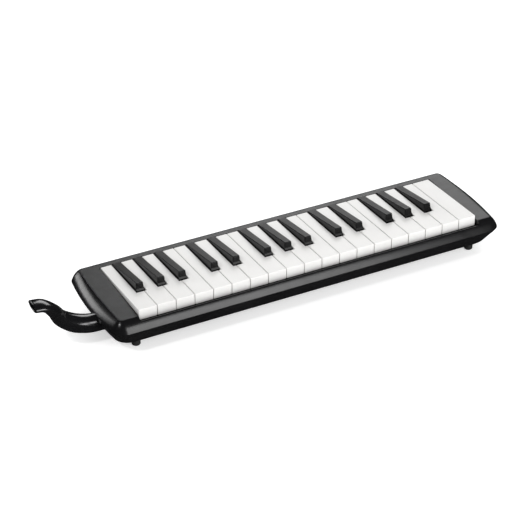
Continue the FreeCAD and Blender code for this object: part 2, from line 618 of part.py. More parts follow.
def add_chamber_gasket(doc):
    """The soft frame between the tray's rim and the wind chest."""
    edge = "Sheet.gasket_width"
    height = f"{BLOCK_LOW} - Sheet.tray_top"
    outer = block(doc, "GasketOuter", ("Sheet.tray_left", "Sheet.tray_front", "Sheet.tray_top"),
                  ("Sheet.tray_right - Sheet.tray_left", "Sheet.tray_rear - Sheet.tray_front", height))
    inner = block(doc, "GasketInner", (f"Sheet.tray_left + {edge}", f"Sheet.tray_front + {edge}",
                                       "Sheet.tray_top"),
                  (f"Sheet.tray_right - Sheet.tray_left - 2 * {edge}",
                   f"Sheet.tray_rear - Sheet.tray_front - 2 * {edge}", height))
    return cut_from(doc, "chamber_gasket", outer, [inner])


# ---------- case ----------

def outline(d, half, front, rear, sagitta, corner, z):
    """Closed wire: straight front and rear, bowed ends, round corners tangent to both."""
    centre_y = (front + rear) / 2
    span = (rear - front) / 2
    bow = (span * span + sagitta * sagitta) / (2 * sagitta)
    bow_x = half - bow
    rise = span - corner
    corner_x = bow_x + math.sqrt((bow - corner) ** 2 - rise ** 2)
    reach = bow / (bow - corner)
    touch = Vector(bow_x + (corner_x - bow_x) * reach, rise * reach, 0)
    turn = math.atan2(rise, corner_x - bow_x) / 2 + math.pi / 4
    bend = Vector(corner_x + corner * math.cos(turn), rise + corner * math.sin(turn), 0)
    flat = Vector(corner_x, span, 0)
    middle = Vector(half, 0, 0)

    def at(point, side, end):
        return Vector(d.case_centre + side * point.x, centre_y + end * point.y, z)
    edges = [
        Part.LineSegment(at(flat, -1, -1), at(flat, 1, -1)),
        Part.Arc(at(flat, 1, -1), at(bend, 1, -1), at(touch, 1, -1)),
        Part.Arc(at(touch, 1, -1), at(middle, 1, 1), at(touch, 1, 1)),
        Part.Arc(at(touch, 1, 1), at(bend, 1, 1), at(flat, 1, 1)),
        Part.LineSegment(at(flat, 1, 1), at(flat, -1, 1)),
        Part.Arc(at(flat, -1, 1), at(bend, -1, 1), at(touch, -1, 1)),
        Part.Arc(at(touch, -1, 1), at(middle, -1, 1), at(touch, -1, -1)),
        Part.Arc(at(touch, -1, -1), at(bend, -1, -1), at(flat, -1, -1)),
    ]
    return Part.Wire([edge.toShape() for edge in edges])


def blend(start, end, share):
    return start + (end - start) * share


def upper_section(d, share, z, inset=0.0):
    """Outline of the upper flank; share runs from 0 at the deck to 1 at the belt."""
    return outline(d, blend(d.deck_half, d.belt_half, share) - inset,
                   blend(d.deck_front, d.belt_front, share) + inset,
                   blend(d.deck_rear, d.belt_rear, share) - inset,
                   blend(d.deck_sagitta, d.belt_sagitta, share),
                   blend(d.deck_corner, d.belt_corner, share) - inset * 0.5, z)


def flank_arc(d):
    """Radius, first tilt and sweep of the pillow-shaped flank between the deck and the belt."""
    run = d.deck_front - d.belt_front
    chord = math.hypot(run, d.belt_z)
    radius = (chord * chord / 4 + d.flank_bulge ** 2) / (2 * d.flank_bulge)
    half_sweep = math.asin(chord / 2 / radius)
    return radius, math.atan2(-d.belt_z, run) - half_sweep, 2 * half_sweep


def flank_points(d, count):
    """The pillow-shaped flank as (share, z) pairs on an arc from the deck to the belt."""
    radius, start, sweep = flank_arc(d)
    run = d.deck_front - d.belt_front
    points = []
    for i in range(count):
        tilt = start + sweep * i / (count - 1)
        out = radius * (math.sin(tilt) - math.sin(start))
        down = radius * (math.cos(start) - math.cos(tilt))
        points.append((out / run, -down))
    return points


def hull_points(d):
    """The lower flank as (inset, z) pairs: a straight slope, then a round turn into the bottom."""
    slope = math.radians(d.hull_slope)
    centre_z = d.case_low + d.hull_radius
    points = [(0.0, d.belt_z)]
    tangent = d.hull_inset - d.hull_radius * math.sin(slope)
    tangent_z = centre_z - d.hull_radius * math.cos(slope)
    points.append((tangent / 2, (d.belt_z + tangent_z) / 2))
    for i in range(4):
        angle = slope * (1 - i / 3)
        points.append((d.hull_inset - d.hull_radius * math.sin(angle),
                       centre_z - d.hull_radius * math.cos(angle)))
    return points


def lower_section(d, inset, z, wall=0.0):
    share = inset / d.hull_inset
    return outline(d, d.belt_half - d.hull_end_inset * share - wall, d.belt_front + inset + wall,
                   d.belt_rear - inset - wall, blend(d.belt_sagitta, 3.0, share),
                   blend(d.belt_corner, 14.0, share) - wall * 0.5, z)


def box(x_low, x_high, y_low, y_high, z_low, z_high):
    return Part.makeBox(x_high - x_low, y_high - y_low, z_high - z_low, Vector(x_low, y_low, z_low))


def rod(x, y, z, radius, length, direction=Vector(0, 0, 1)):
    return Part.makeCylinder(radius, length, Vector(x, y, z), direction)


def lip_cutter(d):
    """The space above the front lip: the flank ends in a round nose that falls towards the keys."""
    radius, start, sweep = flank_arc(d)
    tilt = math.acos(math.cos(start) + d.lip_shoulder / radius)
    shoulder = Vector(0, d.deck_front - radius * (math.sin(tilt) - math.sin(start)), d.lip_shoulder)
    centre = shoulder - Vector(0, -math.sin(tilt), math.cos(tilt)) * d.lip_nose
    crown = centre + Vector(0, 0, d.lip_nose)
    slope = math.radians(d.lip_slope)
    end = centre + Vector(0, math.sin(slope), math.cos(slope)) * d.lip_nose
    inner = Vector(0, d.window_front, end.z - (d.window_front - end.y) * math.tan(slope))
    nose = Part.Arc(shoulder, crown, end).toShape()
    far = Vector(0, d.belt_front - 5, d.lip_shoulder)
    sides = Part.makePolygon([end, inner, Vector(0, inner.y, 5), Vector(0, far.y, 5), far, shoulder])
    solid = Part.Face(Part.Wire([nose] + sides.Edges)).extrude(Vector(2 * d.window_half, 0, 0))
    solid.translate(Vector(-d.window_half, 0, 0))
    return solid


CASE_SCREWS = [(-202.0, 12.0), (199.5, 12.0), (-202.0, 80.0), (199.5, 80.0), (-100.0, 94.8),
               (0.0, 94.8), (100.0, 94.8)]


def pipe_hole(d):
    """The round opening in the left end that the mouthpiece passes through."""
    left = d.case_centre - d.belt_half - 5
    return rod(left, d.pipe_y, d.pipe_z, d.pipe_hole_radius, 20, Vector(1, 0, 0))


def add_upper_case(doc, d):
    """The upper shell: deck, pillow flank, keyboard window with its skirt, and the front lip."""
    levels = flank_points(d, 5)
    outer = Part.makeLoft([upper_section(d, share, z) for share, z in levels], True)
    inner_wires = [upper_section(d, share, z - d.wall, d.wall * 0.55) for share, z in levels[:-1]]
    inner_wires.append(upper_section(d, 1.0, d.belt_z - d.wall, d.wall))
    cavity = Part.makeLoft(inner_wires, True)
    half = d.window_half
    below = d.belt_z - 5
    surround = box(-half - d.skirt, half + d.skirt, d.belt_front - 5, d.window_rear + d.skirt, below, 1)
    window = box(-half, half, d.window_front, d.window_rear, below, 1)
    bosses = [rod(x, y, d.belt_z, d.boss_radius, -d.belt_z).common(outer) for x, y in CASE_SCREWS]
    pilots = [rod(x, y, d.belt_z, d.screw_radius, 7) for x, y in CASE_SCREWS]
    shell = outer.cut(cavity.cut(surround)).fuse(bosses)
    shell = shell.cut([window, lip_cutter(d), pipe_hole(d)] + pilots)
    return add_shape(doc, d, "upper_case", shell)


def add_lower_case(doc, d):
    """The lower shell: sloped sides, flat bottom, screw bosses and the chest's pillars."""
    outer = Part.makeLoft([lower_section(d, inset, z) for inset, z in hull_points(d)], True)
    inner_wires = []
    for inset, z in hull_points(d):
        share = (z - d.belt_z) / (d.case_low - d.belt_z)
        inner_wires.append(lower_section(d, inset, z + d.wall * share ** 2, d.wall * (1 - 0.5 * share)))
    rim = lower_section(d, 0.0, d.belt_z + 2, d.wall)
    cavity = Part.makeLoft([rim] + inner_wires, True)
    floor = d.case_low + d.wall / 2
    added = []
    cut = [pipe_hole(d), rod(d.drain_x, d.drain_y, d.case_low - 1, d.button_hole_radius, 8)]
    for x, y in CASE_SCREWS:
        added.append(rod(x, y, d.case_low, d.well_radius + 1.4, d.belt_z - d.case_low))
        cut.append(rod(x, y, d.case_low - 1, d.well_radius, d.screw_seat - d.case_low + 1))
        cut.append(rod(x, y, d.screw_seat, d.screw_radius + d.screw_play, d.belt_z - d.screw_seat))
    for x, alias in CHEST_SCREWS:
        y = getattr(d, alias)
        top = d.chest_top - (d.chest_plate if y < d.chest_step else d.chest_depth)
        added.append(rod(x, y, floor, d.pillar_radius, top - floor))
        cut.append(rod(x, y, floor + 2, d.screw_radius, top - floor))
    for x, y in foot_positions(d):
        cut.append(rod(x, y, d.case_low - 1, d.stem_radius, 8))
        cut.append(rod(x, y, d.case_low - 1, d.foot_radius, d.foot_seat - d.case_low + 1))
    added = [item.common(outer) for item in added]
    shell = outer.cut(cavity).fuse(added).cut(cut)
    return add_shape(doc, d, "lower_case", shell)


def foot_positions(d):
    return [(d.foot_centre + side * d.foot_spread, y) for side in (-1, 1)
            for y in (d.foot_front, d.foot_rear)]


def add_feet(doc, d):
    """Four round rubber feet, each with a stem plugged into the bottom."""
    feet = []
    height = d.foot_seat - d.table_z
    soft = d.foot_soft_edge
    middle = soft * (1 - math.cos(math.pi / 4))
    profile = [Vector(0, 0, 0), Vector(d.foot_radius - soft, 0, 0)]
    curve = Part.Arc(profile[1], Vector(d.foot_radius - middle, 0, middle),
                     Vector(d.foot_radius, 0, soft)).toShape()
    rest = Part.makePolygon([Vector(d.foot_radius, 0, soft), Vector(d.foot_radius, 0, height),
                             Vector(d.stem_radius, 0, height),
                             Vector(d.stem_radius, 0, height + d.stem_length),
                             Vector(0, 0, height + d.stem_length), Vector(0, 0, 0)])
    base = Part.makeLine(profile[0], profile[1])
    face = Part.Face(Part.Wire([base, curve] + rest.Edges))
    foot = face.revolve(Vector(0, 0, 0), Vector(0, 0, 1), 360)
    for x, y in foot_positions(d):
        copy = foot.copy()
        copy.translate(Vector(x, y, d.table_z))
        feet.append(copy)
    return add_shape(doc, d, "feet", Part.makeCompound(feet))


def screw(d, x, y, seat, length, up):
    """A pan-head screw: its head sits on the seat plane and its shank runs the other way."""
    way = 1 if up else -1
    head = rod(x, y, seat, d.screw_head_radius, d.screw_head_height, Vector(0, 0, -way))
    shank = rod(x, y, seat, d.screw_radius, length, Vector(0, 0, way))
    slot = box(x - 1.8, x + 1.8, y - 0.35, y + 0.35, -0.8, 0.8)
    cross = box(x - 0.35, x + 0.35, y - 1.8, y + 1.8, -0.8, 0.8)
    drive = slot.fuse(cross)
    drive.translate(Vector(0, 0, seat - way * d.screw_head_height))
    return head.fuse(shank).cut(drive).removeSplitter()


def add_screws(doc, d):
    """Screws for the chest, the air chamber's tray and the case."""
    chest = [screw(d, x, getattr(d, y), d.chest_top, 12, False) for x, y in CHEST_SCREWS]
    tray = [screw(d, x, getattr(d, y), d.tray_top - d.tray_wall, 6, True) for x, y in TRAY_SCREWS]
    case = [screw(d, x, y, d.screw_seat, 17, True) for x, y in CASE_SCREWS]
    return [add_shape(doc, d, "chest_screws", Part.makeCompound(chest)),
            add_shape(doc, d, "chamber_screws", Part.makeCompound(tray)),
            add_shape(doc, d, "case_screws", Part.makeCompound(case))]


# ---------- mouthpiece, socket and drain ----------

def pipe_stations(d):
    """Distance out from the root, rise, half width and half thickness along the mouthpiece."""
    reach = d.pipe_start - (d.case_centre - d.belt_half - d.tip_reach)
    r = d.pipe_radius
    return [
        (0.0, 0.0, r, r), (9.8, 0.3, r, r), (18.5, 2.1, r, r), (29.1, 6.4, r, r * 0.99),
        (40.6, 15.0, r * 1.02, r * 0.86), (47.1, 24.6, r * 1.04, r * 0.71),
        (56.7, 33.6, r * 1.07, r * 0.54), (reach, 35.8, r * 1.09, r * 0.46),
    ]


def pipe_sections(d, count):
    """Evenly spaced stations on a smooth curve through the measured ones."""
    stations = pipe_stations(d)
    line = Part.BSplineCurve()
    level = Vector(1, 0, 0)
    line.interpolate(Points=[Vector(out, rise, 0) for out, rise, wide, thick in stations],
                     InitialTangent=level, FinalTangent=level)
    marks = [line.parameter(Vector(out, rise, 0)) for out, rise, wide, thick in stations]
    spread = Part.BSplineCurve()
    spread.interpolate(Points=[Vector(wide, thick, out) for out, rise, wide, thick in stations],
                       Parameters=marks)
    sections = []
    for parameter in line.discretize(Number=count):
        t = line.parameter(parameter)
        point = line.value(t)
        heading = line.tangent(t)[0]
        size = spread.value(t)
        sections.append((point, heading, size.x, min(size.x, size.y)))
    return sections


def pipe_solid(d, shrink):
    """A loft of ellipses square to the centre line, smaller by shrink all round."""
    wires = []
    for point, heading, wide, thick in pipe_sections(d, 12):
        centre = Vector(d.pipe_start - point.x, d.pipe_y, d.pipe_z + point.y)
        upright = Vector(heading.y, 0, heading.x).normalize()
        across = Vector(0, max(wide, thick + 0.01) - shrink, 0)
        ellipse = Part.Ellipse(centre + across, centre + upright * (thick - shrink), centre)
        wires.append(Part.Wire(ellipse.toShape()))
    return Part.makeLoft(wires, True)


def add_mouthpiece(doc, d):
    """The S-shaped mouthpiece: round at the case, flattened to a slot at the lips."""
    length = d.spigot_end - d.pipe_start
    spigot = rod(d.pipe_start, d.pipe_y, d.pipe_z, d.spigot_radius, length, Vector(1, 0, 0))
    passage = rod(d.pipe_start, d.pipe_y, d.pipe_z, d.pipe_bore, length, Vector(1, 0, 0))
    blown = pipe_solid(d, 0.0).cut(pipe_solid(d, d.pipe_wall))
    return add_shape(doc, d, "mouthpiece", blown.fuse(spigot.cut(passage)))


def inlet(d, left, right):
    """The air passage between the inlet box and the chamber, as a block from left to right."""
    low = d.tray_low + d.tray_wall
    return box(left, right, d.inlet_front, d.inlet_rear, low, low + d.inlet_height)


def add_socket(doc, d):
    """The hollow inlet box that takes the mouthpiece and turns the air into the chamber."""
    wall = d.tray_wall
    left, right = d.socket_left, d.tray_left - d.inlet_gap
    front, rear, low, high = d.socket_front, d.inlet_rear + 2, d.tray_low, d.socket_top
    outer = box(left, right, front, rear, low, high)
    hollow = box(left + wall, right - wall, front + wall, rear - wall, low + wall, high - wall)
    length = left - d.collar_end
    collar = rod(d.collar_end, d.pipe_y, d.pipe_z, d.socket_radius, length, Vector(1, 0, 0))
    bore = rod(d.collar_end, d.pipe_y, d.pipe_z, d.socket_bore, length + wall, Vector(1, 0, 0))
    shape = outer.fuse(collar).cut([hollow, bore, inlet(d, right - wall, right)]).removeSplitter()
    return add_shape(doc, d, "mouthpiece_socket", shape)


def add_inlet_gasket(doc, d):
    """The soft frame between the inlet box and the end wall of the air chamber."""
    left = d.tray_left - d.inlet_gap
    frame = box(left, d.tray_left, d.inlet_front - 2, d.inlet_rear + 2, d.tray_low, d.tray_top)
    return add_shape(doc, d, "inlet_gasket", frame.cut(inlet(d, left, d.tray_left)))


def add_drain(doc, d):
    """The drain valve: a button in the bottom, its stem, a sealing disc and a coil spring."""
    x, y = d.drain_x, d.drain_y
    floor = d.tray_low + d.tray_wall
    head_low = d.case_low - d.drain_proud
    stem_radius = d.drain_stem_radius
    head = rod(x, y, head_low, d.button_radius, 3.4)
    stem = rod(x, y, head_low + 3, stem_radius, floor + 2 - head_low - 3)
    button = head.fuse(stem).removeSplitter()
    disc = rod(x, y, floor, 3.4, 1.0).cut(rod(x, y, floor, stem_radius, 1.0))
    washer = rod(x, y, floor + 1, 3.0, 0.4).cut(rod(x, y, floor + 1, stem_radius, 0.4))
    half = d.spring_wire
    low = floor + 1.4 + half
    height = d.chest_top - d.chest_depth - half - low
    coil_radius = 2.4
    path = Part.makeHelix(height / 3, height, coil_radius)
    path.translate(Vector(x, y, low))
    inner, outer = x + coil_radius - half, x + coil_radius + half
    section = Part.makePolygon([Vector(inner, y, low - half), Vector(outer, y, low - half),
                                Vector(outer, y, low + half), Vector(inner, y, low + half),
                                Vector(inner, y, low - half)])
    coil = Part.Wire(path.Edges).makePipeShell([section], True, True)
    return [add_shape(doc, d, "drain_button", button), add_shape(doc, d, "drain_seal", disc),
            add_shape(doc, d, "drain_washer", washer), add_shape(doc, d, "drain_spring", coil)]


# ---------- document ----------

def build_pieces(doc):
    sheet = add_sheet(doc)
    d = Dims(sheet)
    keys = key_list()
    pieces = []
    for key in keys:
        maker = add_white_key if key[1] == "white" else add_black_key
        pieces.append(maker(doc, key))
    ordered = list(enumerate(keys))
    pieces.append(add_chest(doc, keys))
    pieces += add_reed_set(doc, ordered[:16], "low", "Sheet.plate_left", "Sheet.plate_split")
    pieces += add_reed_set(doc, ordered[16:], "high", "Sheet.plate_split + 0.5", "Sheet.plate_right")
    pieces.append(add_rivets(doc, d, keys))
    pieces.append(add_rail(doc, keys))
    pieces.append(add_axle(doc))
    pieces.append(add_axle_clips(doc, d))
    pieces.append(add_strip(doc, "white_key_felt", "Sheet.white_stop_y"))
    pieces.append(add_strip(doc, "black_key_felt", "Sheet.black_stop_y - 0.5"))
    pieces.append(add_tray(doc))
    pieces.append(add_chamber_gasket(doc))
    pieces.append(add_upper_case(doc, d))
    pieces.append(add_lower_case(doc, d))
    pieces.append(add_feet(doc, d))
    pieces += add_screws(doc, d)
    pieces.append(add_mouthpiece(doc, d))
    pieces.append(add_socket(doc, d))
    pieces.append(add_inlet_gasket(doc, d))
    pieces += add_drain(doc, d)
    return pieces


def check(doc, pieces):
    """Stops before anything is written if an object failed or a piece isn't a sound solid."""
    for item in doc.Objects:
        if "Invalid" in item.State or "Error" in item.State:
            raise RuntimeError(f"{item.Name} ({item.Label}) failed: {item.State}")
    for piece in pieces:
        shape = piece.Shape
        if shape.isNull() or not shape.isValid() or not shape.Solids:
            raise RuntimeError(f"{piece.Label} has no valid solid")


def main():
    doc = FreeCAD.newDocument("Melodica")
    pieces = build_pieces(doc)
    doc.recompute()
    check(doc, pieces)
    os.makedirs("parts", exist_ok=True)
    for piece in pieces:
        piece.Shape.exportStep(f"parts/{piece.Label}.step")
    print(len(pieces), "pieces")


main()
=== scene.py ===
import json
import math

import bpy
from mathutils import Matrix, Vector


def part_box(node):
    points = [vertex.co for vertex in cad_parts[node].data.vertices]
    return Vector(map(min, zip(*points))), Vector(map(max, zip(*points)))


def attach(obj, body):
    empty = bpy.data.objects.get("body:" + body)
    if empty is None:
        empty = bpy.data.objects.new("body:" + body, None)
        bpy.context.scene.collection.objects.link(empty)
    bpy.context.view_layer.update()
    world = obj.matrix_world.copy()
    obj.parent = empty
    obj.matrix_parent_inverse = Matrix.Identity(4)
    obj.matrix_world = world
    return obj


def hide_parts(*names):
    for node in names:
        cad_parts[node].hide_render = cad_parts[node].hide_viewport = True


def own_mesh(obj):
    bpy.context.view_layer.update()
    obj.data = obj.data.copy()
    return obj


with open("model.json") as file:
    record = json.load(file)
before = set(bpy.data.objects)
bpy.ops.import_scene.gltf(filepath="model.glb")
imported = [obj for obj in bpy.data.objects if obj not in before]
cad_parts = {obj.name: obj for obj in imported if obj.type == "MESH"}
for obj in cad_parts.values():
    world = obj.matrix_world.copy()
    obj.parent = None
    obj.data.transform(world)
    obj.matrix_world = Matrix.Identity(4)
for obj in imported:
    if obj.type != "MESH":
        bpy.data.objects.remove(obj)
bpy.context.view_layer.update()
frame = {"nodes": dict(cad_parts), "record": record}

NODES = frame["nodes"]
MM = 0.001

# The keyboard's own frame, in millimetres: x = 0 at the middle of the keyboard, y = 0 at the white
# keys' fronts, z = 0 at the deck.
FIRST_KEY, LAST_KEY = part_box("white_key_f3"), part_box("white_key_c6")
CASE_LOW, CASE_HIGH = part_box("upper_case")
ORIGIN = Vector(((FIRST_KEY[0].x + LAST_KEY[1].x) / 2, FIRST_KEY[0].y, CASE_HIGH.z))


def at(x, y, z):
    """A keyboard-frame point in metres in the row frame."""
    return ORIGIN + Vector((x, y, z)) * MM


# ---------- node helpers ----------

def new_material(name):
    material = bpy.data.materials.new(name)
    material.use_nodes = True
    tree = material.node_tree
    tree.nodes.clear()
    out = tree.nodes.new("ShaderNodeOutputMaterial")
    shader = tree.nodes.new("ShaderNodeBsdfPrincipled")
    tree.links.new(shader.outputs["BSDF"], out.inputs["Surface"])
    return material, tree, shader


def coordinates(tree, scale=(1, 1, 1)):
    source = tree.nodes.new("ShaderNodeTexCoord")
    mapping = tree.nodes.new("ShaderNodeMapping")
    mapping.inputs["Scale"].default_value = scale
    tree.links.new(source.outputs["Object"], mapping.inputs["Vector"])
    return mapping.outputs["Vector"]


def noise(tree, vector, scale, detail=4.0, roughness=0.55):
    node = tree.nodes.new("ShaderNodeTexNoise")
    node.inputs["Scale"].default_value = scale
    node.inputs["Detail"].default_value = detail
    node.inputs["Roughness"].default_value = roughness
    tree.links.new(vector, node.inputs["Vector"])
    return node.outputs["Fac"]


def ramp(tree, factor, low, high, start=0.0, end=1.0):
    """Maps a factor onto numbers or colours between low and high."""
    node = tree.nodes.new("ShaderNodeMapRange")
    node.inputs["From Min"].default_value = start
    node.inputs["From Max"].default_value = end
    if isinstance(low, (int, float)):
        node.inputs["To Min"].default_value = low
        node.inputs["To Max"].default_value = high
        tree.links.new(factor, node.inputs["Value"])
        return node.outputs["Result"]
    tree.links.new(factor, node.inputs["Value"])
    mix = tree.nodes.new("ShaderNodeMix")
    mix.data_type = "RGBA"
    mix.inputs["A"].default_value = (*low, 1)
    mix.inputs["B"].default_value = (*high, 1)
    tree.links.new(node.outputs["Result"], mix.inputs["Factor"])
    return mix.outputs["Result"]


def bump(tree, shader, height, strength, distance, edge=0.0):
    node = tree.nodes.new("ShaderNodeBump")
    node.inputs["Strength"].default_value = strength
    node.inputs["Distance"].default_value = distance
    tree.links.new(height, node.inputs["Height"])
    if edge:
        round_edge = tree.nodes.new("ShaderNodeBevel")
        round_edge.samples = 4
        round_edge.inputs["Radius"].default_value = edge
        tree.links.new(round_edge.outputs["Normal"], node.inputs["Normal"])
    tree.links.new(node.outputs["Normal"], shader.inputs["Normal"])


def plastic(name, dark, light, rough, grain_scale, grain, coat=0.0, edge=0.0003, specular=0.5):
    """Moulded plastic: slight cloudiness in the colour, moulding grain and faint handling marks."""
    material, tree, shader = new_material(name)
    vector = coordinates(tree)
    cloud = noise(tree, vector, 30.0, 3.0)
    tree.links.new(ramp(tree, cloud, dark, light, 0.3, 0.7), shader.inputs["Base Color"])
    wear = noise(tree, coordinates(tree, (1.0, 3.0, 1.0)), 90.0, 6.0, 0.7)
    tree.links.new(ramp(tree, wear, rough[0], rough[1], 0.35, 0.7), shader.inputs["Roughness"])
    bump(tree, shader, noise(tree, vector, grain_scale, 2.0), grain, 0.0001, edge)
    shader.inputs["Coat Weight"].default_value = coat
    shader.inputs["Coat Roughness"].default_value = 0.12
    shader.inputs["Specular IOR Level"].default_value = specular
    return material


def metal(name, low, high, rough, stretch):
    """Rolled or drawn metal with fine lines along one direction."""
    material, tree, shader = new_material(name)
    lines = noise(tree, coordinates(tree, stretch), 900.0, 3.0)
    tree.links.new(ramp(tree, lines, low, high, 0.3, 0.7), shader.inputs["Base Color"])
    tree.links.new(ramp(tree, lines, rough[0], rough[1], 0.3, 0.7), shader.inputs["Roughness"])
    bump(tree, shader, lines, 0.15, 0.00005)
    shader.inputs["Metallic"].default_value = 1.0
    return material


def felt(name, low, high):
    """Pressed wool: tangled fibres with a soft sheen."""
    material, tree, shader = new_material(name)
    vector = coordinates(tree, (1.0, 1.0, 2.5))
    fibre = noise(tree, vector, 1800.0, 6.0, 0.8)
    tree.links.new(ramp(tree, fibre, low, high, 0.35, 0.65), shader.inputs["Base Color"])
    shader.inputs["Roughness"].default_value = 0.95
    shader.inputs["Sheen Weight"].default_value = 0.5
    bump(tree, shader, fibre, 0.8, 0.0003)
    return material


WHITE = plastic("white_key_plastic_look", (0.745, 0.738, 0.725), (0.765, 0.76, 0.747),
                (0.3, 0.34), 1800.0, 0.05, specular=0.35)
BLACK = plastic("black_key_plastic_look", (0.003, 0.003, 0.0032), (0.005, 0.005, 0.0053),
                (0.18, 0.24), 900.0, 0.04, specular=0.14)
KEY_TOP = plastic("black_key_top_look", (0.006, 0.006, 0.0065), (0.01, 0.01, 0.0105),
                  (0.34, 0.42), 2600.0, 0.3)
DECK = plastic("case_deck_look", (0.006, 0.0062, 0.0066), (0.01, 0.0104, 0.011),
               (0.34, 0.42), 2200.0, 0.45, specular=0.38)
CASE = plastic("case_plastic_look", (0.004, 0.004, 0.0045), (0.007, 0.007, 0.0075),
               (0.2, 0.26), 1400.0, 0.06, specular=0.32)
GLOSS = plastic("mouthpiece_plastic_look", (0.004, 0.004, 0.0045), (0.007, 0.007, 0.0075),
                (0.13, 0.18), 500.0, 0.03, coat=0.2)
INNER = plastic("inner_plastic_look", (0.02, 0.02, 0.021), (0.03, 0.03, 0.032),
                (0.4, 0.55), 1200.0, 0.15)
RUBBER = plastic("rubber_look", (0.008, 0.008, 0.008), (0.014, 0.014, 0.014),
                 (0.6, 0.8), 1500.0, 0.3)
BRASS = metal("reed_brass_look", (0.72, 0.52, 0.22), (0.83, 0.64, 0.32),
              (0.2, 0.35), (0.05, 1.0, 1.0))
STEEL = metal("steel_look", (0.55, 0.55, 0.56), (0.68, 0.68, 0.69),
              (0.18, 0.32), (1.0, 0.1, 1.0))
FELT = felt("key_felt_look", (0.02, 0.019, 0.019), (0.045, 0.042, 0.042))

SLOT_LOOKS = {"white_key_plastic": WHITE, "black_key_plastic": BLACK, "case_plastic": CASE,
              "mouthpiece_plastic": GLOSS, "inner_plastic": INNER, "soft_rubber": RUBBER,
              "reed_brass": BRASS, "steel_hardware": STEEL, "key_felt": FELT}
NODE_SLOTS = {entry["node"]: entry["material_slot"] for entry in frame["record"]["subparts"]}


# ---------- CAD nodes ----------

def islands(mesh):
    """Polygon lists of a mesh's separate solids, found through shared vertex positions."""
    keys = {}
    owner = list(range(len(mesh.polygons)))

    def find(i):
        while owner[i] != i:
            owner[i] = owner[owner[i]]
            i = owner[i]
        return i
    for polygon in mesh.polygons:
        for v in polygon.vertices:
            point = tuple(round(c * 1e6) for c in mesh.vertices[v].co)
            other = keys.setdefault(point, polygon.index)
            owner[find(polygon.index)] = find(other)
    groups = {}
    for polygon in mesh.polygons:
        groups.setdefault(find(polygon.index), []).append(polygon)
    return list(groups.values())


# A key node holds its lever, its pad and its spring. The lever is deeper than LEVER_DEPTH and the
# pad is shallower than PAD_DEPTH, both in metres.
LEVER_DEPTH = 0.03
PAD_DEPTH = 0.011
TOP_NORMAL = 0.9


def dress(node):
    """Gives a CAD node its slot's look, and a key's pad, spring and black top their own."""
    mesh = NODES[node].data
    mesh.materials.clear()
    mesh.materials.append(SLOT_LOOKS[NODE_SLOTS[node]])
    is_key = node.startswith(("white_key_", "black_key_")) and not node.endswith("felt")
    if is_key:
        mesh.materials.append(RUBBER)
        mesh.materials.append(STEEL)
        for group in islands(mesh):
            points = [mesh.vertices[v].co for polygon in group for v in polygon.vertices]
            depth = max(p.y for p in points) - min(p.y for p in points)
            index = 0 if depth > LEVER_DEPTH else (1 if depth < PAD_DEPTH else 2)
            for polygon in group:
                polygon.material_index = index
    if is_key and node.startswith("black_key_"):
        mesh.materials.append(KEY_TOP)
        for polygon in mesh.polygons:
            if polygon.material_index == 0 and polygon.normal.z > TOP_NORMAL:
                polygon.material_index = 3
    for polygon in mesh.polygons:
        polygon.use_smooth = True


for node in NODES:
    dress(node)


# ---------- upper shell ----------

CASE_CENTRE = ((CASE_LOW.x + CASE_HIGH.x) / 2 - ORIGIN.x) / MM
CASE_HALF = (CASE_HIGH.x - CASE_LOW.x) / 2 / MM
CASE_FRONT = (CASE_LOW.y - ORIGIN.y) / MM
CASE_REAR = (CASE_HIGH.y - ORIGIN.y) / MM
# The shell's lengths are keyboard-frame millimetres. The window is the opening that the keys fill.
WINDOW_HALF = 184.3
WINDOW_FRONT, WINDOW_REAR = -1.6, 90.0
BELT_LINE = {"half": CASE_HALF, "front": CASE_FRONT, "rear": CASE_REAR,
             "sagitta": 5.4, "corner": 13.5}
DECK_LINE = {"half": CASE_HALF - 9.9, "front": CASE_FRONT + 8.8, "rear": CASE_REAR - 8.0,
             "sagitta": 2.0, "corner": 4.0}
CORNER_POINTS = 14
SIDE_POINTS = 26
CORNER_SHRINK = 0.5
BELT_Z = -11.0
BELT_STEP = 0.25
BELT_INSET = 0.3
# Inset from the deck's outline, and height, of each line of the crease round the deck.
CREASE = ((0.3, 0.0), (0.42, -0.3), (0.78, -0.3), (0.9, 0.0))
FLANK_BULGE = 1.3
LIP_SHOULDER = -3.9
LIP_NOSE = 1.6
LIP_SLOPE = math.radians(36)
NOSE_STEPS = 14
LEVELS = 26
PIPE_Y, PIPE_Z, PIPE_START = 31.0, -17.6, -207.2
HOLE_RADIUS = 10.2
CUTTER_OUTSIDE = 5
CUTTER_INSIDE = 14
SHELL_WALL = 1.9
ROUND = 64


def arc(centre, start, end, count):
    """Points on the short arc from start to end about centre, both ends included."""
    radius = math.dist(centre, start)
    first_angle = math.atan2(start[1] - centre[1], start[0] - centre[0])
    last_angle = math.atan2(end[1] - centre[1], end[0] - centre[0])
    sweep = (last_angle - first_angle + math.pi) % (2 * math.pi) - math.pi
    angles = [first_angle + sweep * i / (count - 1) for i in range(count)]
    return [(centre[0] + radius * math.cos(a), centre[1] + radius * math.sin(a)) for a in angles]


